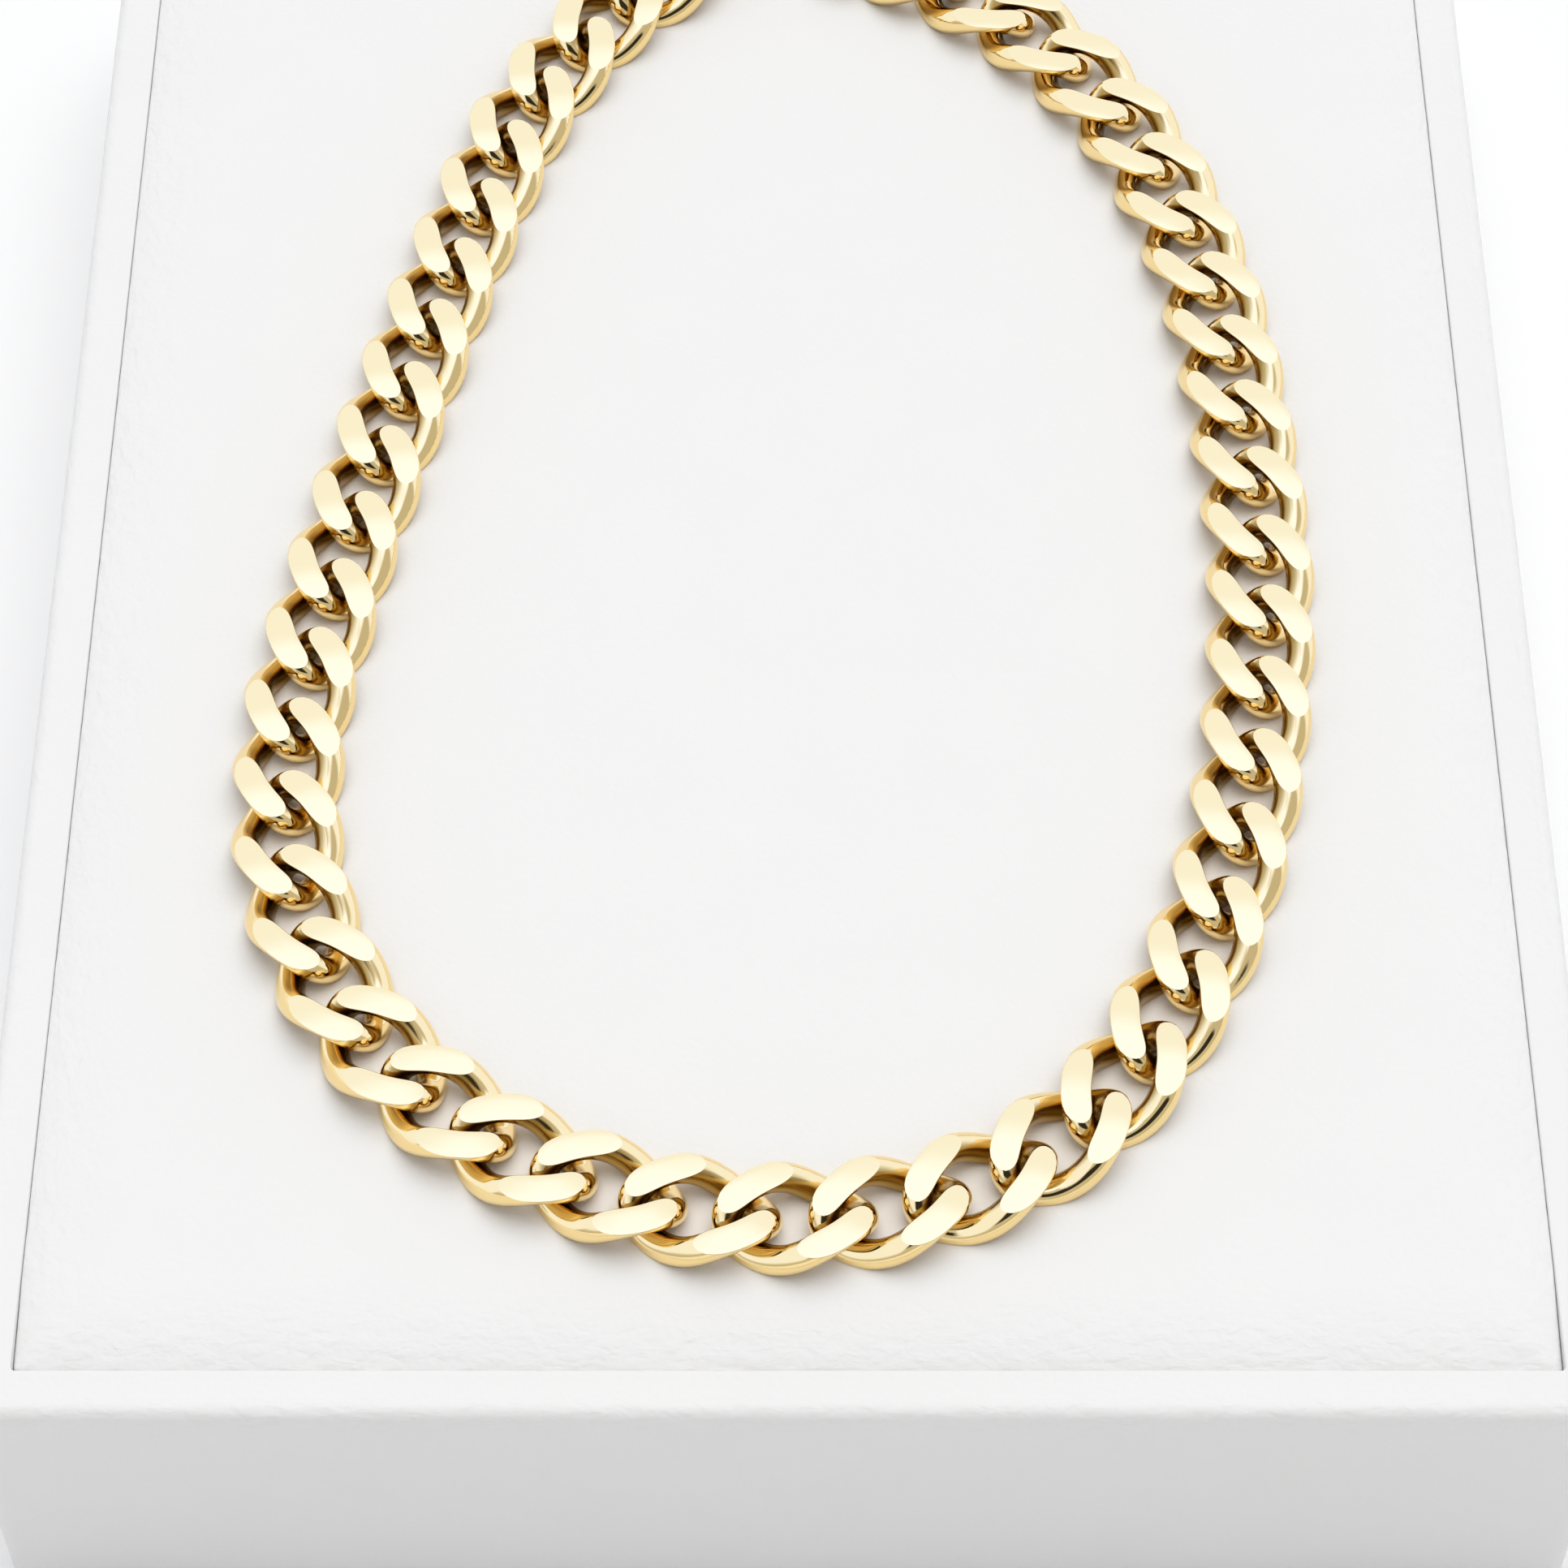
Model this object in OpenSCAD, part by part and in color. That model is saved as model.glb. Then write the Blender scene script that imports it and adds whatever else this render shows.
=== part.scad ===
// Flat curb chain necklace, closed into a loop and laid on a padded display box.
// Millimetres, +Z up. The origin is under the middle of the box, on the surface that it stands on.

/* [Chain] */
// Length of the closed necklace, measured along the middle of the chain
necklace_len = 494; // [450:2:560]
// Diameter of the round wire that a link is bent from
wire_d = 3.4; // [2.8:0.1:3.6]
// Nominal distance from one link to the next
link_pitch = 10.5; // [9.8:0.1:11.5]
// How far a link can slide in the next one along the chain
link_play = 1; // [0.8:0.1:1.4]
// Room beside the next link's wire inside a link, before it is twisted
side_room = 2.9; // [2.7:0.1:3.6]
// Twist of a link at each end
link_twist = 45; // [44:1:50]
// How much of the twist is done before the ends, which the bars then leave level
twist_ease = 0.2; // [0:0.05:0.4]
// Thickness of the chain between its filed flats
chain_t = 4.1; // [3.8:0.1:4.6]

/* [Clasp] */
// Length of the plain clasp body between the links soldered to it
clasp_len = 10; // [7:0.5:14]
// Width of the clasp body
clasp_w = 9.5; // [7:0.5:12]
// Thickness of the clasp body
clasp_t = 3.7; // [3:0.1:4]
// Bevel along the clasp body's edges
clasp_bevel = 1; // [0.4:0.1:1.4]

/* [Pad] */
// Bare pad beside the chain, left and right
pad_side = 19.5; // [15:0.5:30]
// Bare pad in front of the chain
pad_front = 10.2; // [8:0.1:25]
// Bare pad behind the chain
pad_back = 12; // [8:0.5:25]
// How far the loop lies to the left of the pad's middle
loop_shift = 0.7; // [-3:0.1:3]
// Width of the band along the pad's edges that rounds down
pad_roll = 7; // [3:0.5:8]
// Drop of that band at the very edge
pad_drop = 1.4; // [0.6:0.1:2.5]
// Height of the pad's flat top over the rim of the box
pad_proud = 0.8; // [0:0.1:2]

/* [Box] */
// Height of the box up to its rim
box_h = 42; // [28:1:60]
// Width of the rim, which is the thickness of the walls
rim_w = 5.5; // [4:0.1:10]
// Thickness of the box's floor
floor_t = 3; // [2:0.5:6]
// Rounding of the rim's outer edge
rim_round = 1.6; // [0.6:0.1:3]
// Rounding of the box's upright corners
corner_r = 2.5; // [1:0.5:6]

/* [Fit] */
// Clearance all round the pad inside the box
pad_gap = 0.4; // [0.2:0.05:1]
// Clearance under the chain and under the pad
seat_gap = 0.1; // [0.05:0.05:0.3]

/* [Hidden] */

// The middle of the chain, counter-clockwise from the upper left, as it was laid down
ROUTE = [
    [-33, 106.5], [-39.5, 87.5], [-45, 67.5], [-50, 47.5], [-54.5, 27], [-57.5, 6.5],
    [-55.5, -14.5], [-45.5, -34], [-28.5, -48], [-8, -55], [13.5, -54], [32, -44.5],
    [44, -28], [51.5, -8.5], [55.5, 12.5], [57, 33.5], [56, 54], [53.5, 74.5],
    [48, 94.5], [38, 113], [21, 129], [-2, 137.5], [-20.5, 125.5]
];
// Where along the route the clasp's middle lies, in millimetres before its first point
clasp_back = 42;
// Steps of the curve between two points of the route
route_steps = 12;
// Stations round a link and sides of its wire
link_stations = 14;
wire_sides = 6;
// Stations along the clasp body, and steps round a rolled edge
clasp_stations = 5;
roll_steps = 4;
// Roundness of the true arcs
$fn = 48;
// Depth by which a cut runs past what it cuts
past = 1;

// Small vector helpers
function unit(v) = v / norm(v);
function turn_left(v) = [-v[1], v[0]];
function running(v, i = 0, sum = 0) = i == len(v) ? [sum] : concat([sum], running(v, i + 1, sum + v[i]));

// Smooth closed curve through the route's points (uniform Catmull-Rom)
function bend(p0, p1, p2, p3, t) =
    (2 * p1 + (p2 - p0) * t + (2 * p0 - 5 * p1 + 4 * p2 - p3) * t * t
    + (3 * p1 - p0 - 3 * p2 + p3) * t * t * t) / 2;
function pick(i) = ROUTE[(i + len(ROUTE)) % len(ROUTE)];
drawn = [for (i = [0 : len(ROUTE) - 1]) for (k = [0 : route_steps - 1])
    bend(pick(i - 1), pick(i), pick(i + 1), pick(i + 2), k / route_steps)];
drawn_step = [for (i = [0 : len(drawn) - 1]) norm(drawn[(i + 1) % len(drawn)] - drawn[i])];
drawn_at = running(drawn_step);
drawn_len = drawn_at[len(drawn)];

// A link's path: an ellipse through the middle of the wire
link_a = (link_pitch + link_play + wire_d) / 2;
link_b = (side_room + 2 * wire_d) / 2;

// The route at the necklace's length, with its extents
route_scale = necklace_len / drawn_len;
xs = [for (p = drawn) p[0] * route_scale];
ys = [for (p = drawn) p[1] * route_scale];
chain_w = 2 * link_b * cos(link_twist / 2) + wire_d;
loop_w = max(xs) - min(xs) + chain_w;
loop_d = max(ys) - min(ys) + chain_w;

// Pad and box follow the loop
pad_w = loop_w + 2 * pad_side;
pad_d = loop_d + pad_front + pad_back;
box_w = pad_w + 2 * (pad_gap + rim_w);
box_d = pad_d + 2 * (pad_gap + rim_w);
pad_z = floor_t + seat_gap;
pad_top = box_h + pad_proud;
chain_z = pad_top + seat_gap + chain_t / 2;
loop_x = -(max(xs) + min(xs)) / 2 - loop_shift;
loop_y = -pad_d / 2 + pad_front + chain_w / 2 - min(ys);

// Place and direction on the route at a distance along it
function wrap(s) = s - necklace_len * floor(s / necklace_len);
function seat_of(s) = let (d = wrap(s) / route_scale, hit = search_step(d, 0, len(drawn)))
    let (f = (d - drawn_at[hit]) / drawn_step[hit])
    (drawn[hit] * (1 - f) + drawn[(hit + 1) % len(drawn)] * f) * route_scale + [loop_x, loop_y];
function search_step(d, lo, hi) = hi - lo <= 1 ? lo :
    let (mid = floor((lo + hi) / 2)) drawn_at[mid] <= d ? search_step(d, mid, hi) : search_step(d, lo, mid);
function heading(s, reach) = unit(seat_of(s + reach) - seat_of(s - reach));

// The clasp's end links stand half its span each way; the others share what is left
clasp_span = clasp_len + 2 * link_a;
clasp_mid = -clasp_back * route_scale;
link_gaps = round((necklace_len - clasp_span) / link_pitch);
step = (necklace_len - clasp_span) / link_gaps;
link_s = [for (i = [0 : link_gaps]) clasp_mid + clasp_span / 2 + i * step];

// Twist of a link at x = u * link_a, and the middle of its wire at angle t
function twist_at(u) = -link_twist * ((1 + twist_ease) * u - twist_ease * u * u * u);
function wire_mid(t) = let (w = twist_at(cos(t)))
    [link_a * cos(t), link_b * sin(t) * cos(w), link_b * sin(t) * sin(w)];
function wire_ring(t) = let (
        w = twist_at(cos(t)),
        along = unit(wire_mid(t + 1) - wire_mid(t - 1)),
        out = unit([link_b * cos(t), link_a * sin(t) * cos(w), link_a * sin(t) * sin(w)]),
        side = unit(out - along * (out * along)),
        up = cross(along, side))
    [for (k = [0 : wire_sides - 1]) wire_mid(t)
        + wire_d / 2 * (side * cos(k * 360 / wire_sides) + up * sin(k * 360 / wire_sides))];

// Triangles of a tube of rings with m points each; closed joins the last ring to the first
function tube_faces(n, m, closed) = [for (i = [0 : n - (closed ? 1 : 2)]) for (k = [0 : m - 1])
    let (a = i * m + k, b = i * m + (k + 1) % m, c = ((i + 1) % n) * m + (k + 1) % m, d = ((i + 1) % n) * m + k)
    each [[a, c, b], [a, d, c]]];

// One link, twisted from round wire and filed flat above and below
module link() {
    rings = [for (i = [0 : link_stations - 1]) wire_ring((i + 0.5) * 360 / link_stations)];
    resize([0, 0, chain_t]) intersection() {
        polyhedron(points = [for (r = rings) each r], faces = tube_faces(link_stations, wire_sides, true));
        cube([2 * link_a + 2 * wire_d, 2 * link_b + 2 * wire_d, chain_t], center = true);
    }
}

// A link laid on the route
module laid_link(s) {
    at = seat_of(s);
    dir = heading(s, step / 2);
    translate([at[0], at[1], chain_z]) rotate([0, 0, atan2(dir[1], dir[0])]) link();
}

// All links but the two that the clasp carries
module chain() {
    color("gold")
        for (i = [1 : link_gaps - 1]) laid_link(link_s[i]);
}

// Bevelled bar that follows the route, soldered to the link at each of its ends
module clasp() {
    w = clasp_w / 2;
    t = clasp_t / 2;
    c = clasp_bevel;
    outline = [[w, -t + c], [w, t - c], [w - c, t], [-w + c, t], [-w, t - c], [-w, -t + c], [-w + c, -t], [w - c, -t]];
    rings = [for (i = [0 : clasp_stations - 1]) let (
            s = clasp_mid + clasp_len * (i / (clasp_stations - 1) - 0.5),
            at = seat_of(s),
            side = turn_left(heading(s, step / 2)))
        [for (p = outline) [at[0] + side[0] * p[0], at[1] + side[1] * p[0], chain_z + p[1]]]];
    ends = [[for (k = [0 : 7]) k], [for (k = [7 : -1 : 0]) (clasp_stations - 1) * 8 + k]];
    color("gold") union() {
        polyhedron(points = [for (r = rings) each r],
            faces = concat(tube_faces(clasp_stations, 8, false), ends));
        laid_link(link_s[0]);
        laid_link(link_s[link_gaps]);
    }
}

// Half width of a block whose top edge rolls down, as a list of [width, height] from the top outwards
function rolled(half, top, reach, drop) = [for (i = [0 : roll_steps])
    let (a = 90 * i / roll_steps) [half - reach * (1 - sin(a)), top - drop * (1 - cos(a))]];
function block_outline(half, low, top, reach, drop) = let (edge = rolled(half, top, reach, drop))
    concat([[-half, low], [half, low]], [for (i = [roll_steps : -1 : 0]) edge[i]],
        [for (p = edge) [-p[0], p[1]]]);

// Block with its four top edges rolled down and mitred at the corners
module rolled_block(w, d, low, top, reach, drop) {
    intersection() {
        rotate([90, 0, 0]) linear_extrude(height = d + 2 * past, center = true)
            polygon(block_outline(w / 2, low, top, reach, drop));
        rotate([90, 0, 90]) linear_extrude(height = w + 2 * past, center = true)
            polygon(block_outline(d / 2, low, top, reach, drop));
    }
}

// Upright block with round corners
module upright_block(w, d, h, r) {
    union() {
        translate([-w / 2 + r, -d / 2, 0]) cube([w - 2 * r, d, h]);
        translate([-w / 2, -d / 2 + r, 0]) cube([w, d - 2 * r, h]);
        for (x = [-1, 1]) for (y = [-1, 1])
            translate([x * (w / 2 - r), y * (d / 2 - r), 0]) cylinder(h = h, r = r);
    }
}

// Padded insert: a foam block under stretched leatherette
module box_pad() {
    color("white") rolled_block(pad_w, pad_d, pad_z, pad_top, pad_roll, pad_drop);
}

// Open box: floor and four walls, with the rim's outer edge rounded
module display_box() {
    color("whitesmoke") difference() {
        intersection() {
            rolled_block(box_w, box_d, 0, box_h, rim_round, rim_round);
            upright_block(box_w, box_d, box_h + past, corner_r);
        }
        translate([-pad_w / 2 - pad_gap, -pad_d / 2 - pad_gap, floor_t])
            cube([pad_w + 2 * pad_gap, pad_d + 2 * pad_gap, box_h]);
    }
}

chain();
clasp();
display_box();
box_pad();
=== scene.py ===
"""Looks of a flat curb chain necklace on its padded display box. Metres, +Z up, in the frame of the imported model."""
import logging
import math
from dataclasses import dataclass, field
from enum import Enum

import bpy
import numpy as np
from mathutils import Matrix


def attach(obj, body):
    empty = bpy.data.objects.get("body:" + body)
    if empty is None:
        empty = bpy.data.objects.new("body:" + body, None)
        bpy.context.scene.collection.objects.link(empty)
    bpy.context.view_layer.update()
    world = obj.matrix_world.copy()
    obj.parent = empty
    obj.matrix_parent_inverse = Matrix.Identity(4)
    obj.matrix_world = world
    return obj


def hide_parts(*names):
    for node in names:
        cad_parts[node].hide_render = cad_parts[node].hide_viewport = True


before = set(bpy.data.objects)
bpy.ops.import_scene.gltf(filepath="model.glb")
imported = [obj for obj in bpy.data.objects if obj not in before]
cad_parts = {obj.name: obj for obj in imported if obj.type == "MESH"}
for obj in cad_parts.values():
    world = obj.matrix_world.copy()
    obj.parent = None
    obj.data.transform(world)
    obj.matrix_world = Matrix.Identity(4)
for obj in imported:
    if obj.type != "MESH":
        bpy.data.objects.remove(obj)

log = logging.getLogger("necklace")
MM = 0.001
ROOT = "root"
PHOTO_SIDE_PX = 1932
# The gold's fine marks are this many times finer than its slow patches.
FINE_TIMES = 14.0
UP = np.array([0.0, 0.0, 1.0])
Tint = tuple[float, float, float]
Span = tuple[float, float]
Tree = bpy.types.NodeTree
Socket = bpy.types.NodeSocket


class Slot(Enum):
    """Material slots of the record that the pieces take their finish from."""

    GOLD = "chain_gold"
    BOX = "box_leather"
    PAD = "pad_leather"


class Side(Enum):
    """Halves of the chain, by the share of its links that each holds."""

    RIGHT = (0.5, 1.0)
    LEFT = (0.0, 0.5)


def ring_faces(rows: int, columns: int, bands: int) -> np.ndarray:
    """Quads between rings of points that follow each other along a path.

    Args:
        rows: Number of rings.
        columns: Number of points in each ring.
        bands: Number of bands between them, as many as there are rings where the path closes on itself.

    Returns:
        Corner numbers, one row of four for each face, outwards where a ring turns clockwise seen along the path.
    """
    i, k = np.meshgrid(np.arange(bands), np.arange(columns), indexing="ij")
    near, far = i * columns, (i + 1) % rows * columns
    beside = (k + 1) % columns
    return np.stack([near + k, near + beside, far + beside, far + k], axis=-1).reshape(-1, 4)


def closed_stack(rows: int, columns: int, flip: bool = False) -> tuple[np.ndarray, list[list[int]]]:
    """Faces of rings that are stacked along a profile, with the first and the last ring closed.

    Args:
        rows: Number of rings.
        columns: Number of points in each ring.
        flip: Whether every face is turned round.

    Returns:
        Corner numbers of the quads between the rings, and those of the two closing faces.
    """
    quads = ring_faces(rows, columns, rows - 1)
    last = (rows - 1) * columns
    caps = [list(range(columns))[::-1], list(range(last, last + columns))]
    return (quads[:, ::-1], [cap[::-1] for cap in caps]) if flip else (quads, caps)


def raised(rings: np.ndarray, heights: np.ndarray) -> np.ndarray:
    """Rings of points in the plane, each put at its own height."""
    return np.concatenate([rings, np.broadcast_to(heights[:, None, None], (*rings.shape[:2], 1))], -1)


def new_piece(name: str, points: np.ndarray, quads: np.ndarray, caps: list[list[int]] | None = None,
              normals: np.ndarray | None = None) -> bpy.types.Object:
    """Puts a surface into a mesh object that stands at the origin.

    Args:
        name: Name of the piece.
        points: Corners in millimetres, one row of three each.
        quads: Corner numbers of the four-sided faces.
        caps: Corner numbers of the faces that close the ends.
        normals: Shading direction at each corner, where the formula gives it.

    Returns:
        The new object, smooth all over.
    """
    mesh = bpy.data.meshes.new(name)
    faces = quads.tolist() + (caps or [])
    mesh.from_pydata((points * MM).tolist(), [], faces)
    mesh.validate()
    mesh.polygons.foreach_set("use_smooth", np.ones(len(mesh.polygons), bool))
    if normals is not None:
        mesh.normals_split_custom_set_from_vertices(normals.tolist())
    mesh.update()
    piece = bpy.data.objects.new(name, mesh)
    bpy.context.scene.collection.objects.link(piece)
    return piece


def mark(piece: bpy.types.Object, shares: dict[str, np.ndarray]) -> None:
    """Writes named shares from 0 to 1 on a piece's corners, for its finish to read.

    Args:
        piece: The piece.
        shares: One number for each corner, by name.
    """
    for name, values in shares.items():
        layer = piece.data.attributes.new(name, "FLOAT", "POINT")
        layer.data.foreach_set("value", np.ascontiguousarray(values, np.float32))


def edge_pulls(points: np.ndarray, half: np.ndarray, reach: float) -> dict[str, np.ndarray]:
    """How strongly a sheet is pulled over the edges of the rectangle that it covers.

    Each share is a smooth step of (reach - d) / reach over the distance d from the nearer edge.

    Args:
        points: Corners in millimetres.
        half: Half width and half depth of the rectangle.
        reach: Width of the pulled band.

    Returns:
        The share over the front and back edges, and the one over the left and right edges.
    """
    gap = half - np.abs(points[..., :2].reshape(-1, 2))
    share = smooth_step((reach - gap) / reach)
    return {"pull": share[:, 1], "side_pull": share[:, 0] * (1 - share[:, 1])}


def smooth_step(share: np.ndarray) -> np.ndarray:
    """3 x^2 - 2 x^3 of a share held between 0 and 1."""
    x = np.clip(share, 0, 1)
    return x * x * (3 - 2 * x)


def unit(vectors: np.ndarray) -> np.ndarray:
    """Vectors of length one, along the last axis."""
    return vectors / np.linalg.norm(vectors, axis=-1, keepdims=True)


def waves(along: np.ndarray, seed: int, lengths: tuple[float, ...], period: float) -> np.ndarray:
    """Uneven waves that repeat after a period: a sum of sines of the given lengths, each with its own phase.

    Args:
        along: Distances in millimetres.
        seed: Seed of the phases and heights.
        lengths: Wave lengths in millimetres, each rounded so that it fits the period.
        period: Length after which the waves repeat.

    Returns:
        Heights from about -1 to 1.
    """
    rng = np.random.default_rng(seed)
    total = np.zeros_like(along)
    for length in lengths:
        turns = max(1, round(period / length))
        total += rng.uniform(0.6, 1.0) * np.sin(2 * np.pi * turns * along / period + rng.uniform(0, 2 * np.pi))
    return total / len(lengths)


@dataclass(frozen=True)
class Route:
    """The middle of the chain: a closed curve through given points, scaled to the necklace's length."""

    necklace_len: float = 494.0
    steps: int = 12
    side_margin: float = 19.5
    front_margin: float = 10.2
    back_margin: float = 12.0
    loop_shift: float = 0.7
    points: tuple[tuple[float, float], ...] = (
        (-33, 106.5), (-39.5, 87.5), (-45, 67.5), (-50, 47.5), (-54.5, 27), (-57.5, 6.5),
        (-55.5, -14.5), (-45.5, -34), (-28.5, -48), (-8, -55), (13.5, -54), (32, -44.5),
        (44, -28), (51.5, -8.5), (55.5, 12.5), (57, 33.5), (56, 54), (53.5, 74.5),
        (48, 94.5), (38, 113), (21, 129), (-2, 137.5), (-20.5, 125.5))

    def drawn(self) -> np.ndarray:
        """Points of the uniform Catmull-Rom curve through the route's points.

        Returns:
            One row for each step: half of 2 P1 + (P2 - P0) t + (2 P0 - 5 P1 + 4 P2 - P3) t^2
            + (3 P1 - P0 - 3 P2 + P3) t^3.
        """
        knots = np.array(self.points, float)
        index = np.repeat(np.arange(len(knots)), self.steps)
        t = np.tile(np.arange(self.steps) / self.steps, len(knots))[:, None]
        p0, p1, p2, p3 = (knots[(index + k) % len(knots)] for k in (-1, 0, 1, 2))
        return (2 * p1 + (p2 - p0) * t + (2 * p0 - 5 * p1 + 4 * p2 - p3) * t ** 2
                + (3 * p1 - p0 - 3 * p2 + p3) * t ** 3) / 2

    def scale(self) -> float:
        """Factor from the drawn curve to the necklace's length."""
        curve = self.drawn()
        return self.necklace_len / np.linalg.norm(np.roll(curve, -1, 0) - curve, axis=1).sum()

    def loop_size(self, chain_w: float) -> np.ndarray:
        """Width and depth of the loop over the chain."""
        curve = self.drawn() * self.scale()
        return curve.max(0) - curve.min(0) + chain_w

    def pad_size(self, chain_w: float) -> np.ndarray:
        """Width and depth of the pad that carries the loop."""
        return self.loop_size(chain_w) + np.array([2 * self.side_margin, self.front_margin + self.back_margin])

    def shift(self, chain_w: float) -> np.ndarray:
        """Place of the drawn curve's own origin in the shared frame.

        Args:
            chain_w: Width of the chain.

        Returns:
            Its x and y.
        """
        curve = self.drawn() * self.scale()
        low, high = curve.min(0), curve.max(0)
        return np.array([-(low[0] + high[0]) / 2 - self.loop_shift,
                         -self.pad_size(chain_w)[1] / 2 + self.front_margin + chain_w / 2 - low[1]])

    def place(self, along: np.ndarray, chain_w: float) -> np.ndarray:
        """Points at the given distances along the route, straight between the drawn points.

        Args:
            along: Distances in millimetres; they wrap round the loop.
            chain_w: Width of the chain, which sets where the loop lies on the pad.

        Returns:
            One row of x and y for each distance.
        """
        curve = self.drawn() * self.scale()
        ends = np.vstack([curve, curve[:1]])
        at = np.concatenate([[0], np.cumsum(np.linalg.norm(np.diff(ends, axis=0), axis=1))])
        wrapped = np.mod(along, self.necklace_len)
        return np.stack([np.interp(wrapped, at, ends[:, 0]), np.interp(wrapped, at, ends[:, 1])], -1) \
            + self.shift(chain_w)

    def heading(self, along: np.ndarray, reach: float, chain_w: float) -> np.ndarray:
        """Direction between the points that lie reach behind and before each distance."""
        return unit(self.place(along + reach, chain_w) - self.place(along - reach, chain_w))


@dataclass(frozen=True)
class LinkShape:
    """One link: round wire bent to an ellipse, twisted one way and the other, and filed flat above and below."""

    wire_d: float = 3.4
    pitch: float = 10.5
    play: float = 1.0
    side_room: float = 2.9
    twist: float = 45.0
    twist_ease: float = 0.2
    chain_t: float = 4.1
    edge_round: float = 0.1
    rings: int = 112
    flat_steps: int = 4
    edge_steps: int = 3
    round_steps: int = 9
    narrowest: float = 12.0
    uncut_reach: float = 0.6975
    spacing: float = 0.52
    edge_spacing: float = 0.06
    edge_reach: float = 0.14
    trial_steps: int = 7201
    probe: float = 0.01
    crown: float = 0.12
    long_crown: float = 0.3
    # painted shade on the wire's inner side and lower half: where its step starts, how much earlier at the link's
    # ends, how soft it is
    painted_shade_from: float = 0.15
    painted_shade_turn: float = 0.3
    painted_shade_ease: float = 0.5
    turn_from: float = 0.7
    turn_ease: float = 0.25
    low_from: float = -0.05
    low_share: float = 0.55

    @property
    def half_len(self) -> float:
        """Half the length of the ellipse through the wire's middle."""
        return (self.pitch + self.play + self.wire_d) / 2

    @property
    def half_width(self) -> float:
        """Half the width of that ellipse."""
        return (self.side_room + 2 * self.wire_d) / 2

    @property
    def chain_w(self) -> float:
        """Width of the chain over its links."""
        return 2 * self.half_width * math.cos(math.radians(self.twist / 2)) + self.wire_d

    def middle(self, t: np.ndarray) -> np.ndarray:
        """Middle of the wire at angle t: (a cos t, b sin t cos w, b sin t sin w).

        The twist w is -T ((1 + k) u - k u^3) with u = cos t.

        Args:
            t: Angles round the link.

        Returns:
            One point for each angle.
        """
        u = np.cos(t)
        w = -math.radians(self.twist) * ((1 + self.twist_ease) * u - self.twist_ease * u ** 3)
        across = self.half_width * np.sin(t)
        return np.stack([self.half_len * u, across * np.cos(w), across * np.sin(w)], -1)

    def frame_at(self, t: np.ndarray) -> tuple[np.ndarray, np.ndarray, np.ndarray, np.ndarray]:
        """Middle, direction, upward and sideways axes of the wire's section at angle t.

        Args:
            t: Angles round the link.

        Returns:
            Middle, direction, the part of +Z that lies across the wire, and the level axis away from the opening.
        """
        mid = self.middle(t)
        along = unit(self.middle(t + self.probe) - self.middle(t - self.probe))
        rise = unit(UP - along * along[..., 2:3])
        return mid, along, rise, np.cross(along, rise)

    def stations(self) -> np.ndarray:
        """Angles of the sections, crowded where a filed flat begins or ends.

        The crowding at a flat's end is a bell of 1 / (1 + (d / edge_reach)^2) over the distance d along the wire.

        Returns:
            Angles in rising order, as many as there are rings.
        """
        t = np.linspace(0, 2 * np.pi, self.trial_steps)
        mid, _, rise, _ = self.frame_at(t)
        s = np.concatenate([[0], np.cumsum(np.linalg.norm(np.diff(mid, axis=0), axis=1))])
        over = np.abs(mid[:, 2]) + self.wire_d / 2 * rise[:, 2] - self.chain_t / 2
        ends = s[np.flatnonzero(np.diff(np.sign(over)))]
        gap = np.abs(s[:, None] - ends[None, :])
        gap = np.minimum(gap, s[-1] - gap)
        crowd = 1 / self.spacing + (1 / self.edge_spacing / (1 + (gap / self.edge_reach) ** 2)).sum(1)
        share = np.concatenate([[0], np.cumsum((crowd[1:] + crowd[:-1]) / 2 * np.diff(s))])
        return np.interp(np.arange(self.rings) / self.rings * share[-1], share, t)

    def flat_zone(self, cut: np.ndarray) -> tuple[np.ndarray, np.ndarray, np.ndarray, np.ndarray]:
        """Section of the wire round its highest point, where the file has cut it or not.

        The cut lies at cut times the radius from the middle. A small round of radius edge_round joins it to the
        wire: its middle lies edge_round under the cut and radius - edge_round from the wire's middle.

        Args:
            cut: Height of the cut over the wire's middle, as a share of its radius, one for each ring.

        Returns:
            Rise and side of each point, how much of its shading is the wire's own (0 on the flat), and the
            angle at which the plain wire starts, one row for each ring.
        """
        r, e = self.wire_d / 2, self.edge_round
        filed = cut < 1
        level = np.where(filed, cut, 1.0)[:, None] * r
        lean = np.arccos(np.clip((level - e) / (r - e), -1, 1))
        flat = (r - e) * np.sin(lean)
        least = math.radians(self.narrowest)
        wide = lean >= least
        opening = np.maximum(lean, least)
        theta = np.linspace(0, 1, self.edge_steps + 1)[None, 1:]
        share = np.linspace(0, 1, self.flat_steps // 2 + 1)[None, :]
        reach = np.where(wide, flat, np.maximum(flat, self.uncut_reach * r * math.sin(least)))
        outer = np.where(wide, flat + e * np.sin(lean), r * math.sin(least))
        side_flat = reach * share
        bend = np.sin(opening * theta) / np.sin(opening)
        bend = np.where(wide, np.sin(lean * theta) / np.maximum(np.sin(lean), 1e-9), bend)
        side_edge = np.where(wide, flat + e * np.sin(lean * theta), reach + (outer - reach) * bend)
        side = np.concatenate([side_flat, side_edge], 1)
        wire = np.sqrt(np.maximum(r * r - side * side, 0))
        start = r * np.sin(lean)
        round_rise = level - e + np.sqrt(np.maximum(e * e - np.maximum(side - flat, 0) ** 2, 0))
        general = np.where(side <= flat, level, np.where(side < start, round_rise, wire))
        exact = np.concatenate([np.broadcast_to(level, side_flat.shape), level - e + e * np.cos(lean * theta)], 1)
        rise = np.where(wide, exact, np.where(filed[:, None], general, wire))
        own_general = np.clip((side - flat) / np.maximum(start - flat, 1e-6), 0, 1)
        crown = self.crown * share ** 2 * np.ones_like(side_flat)
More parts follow.
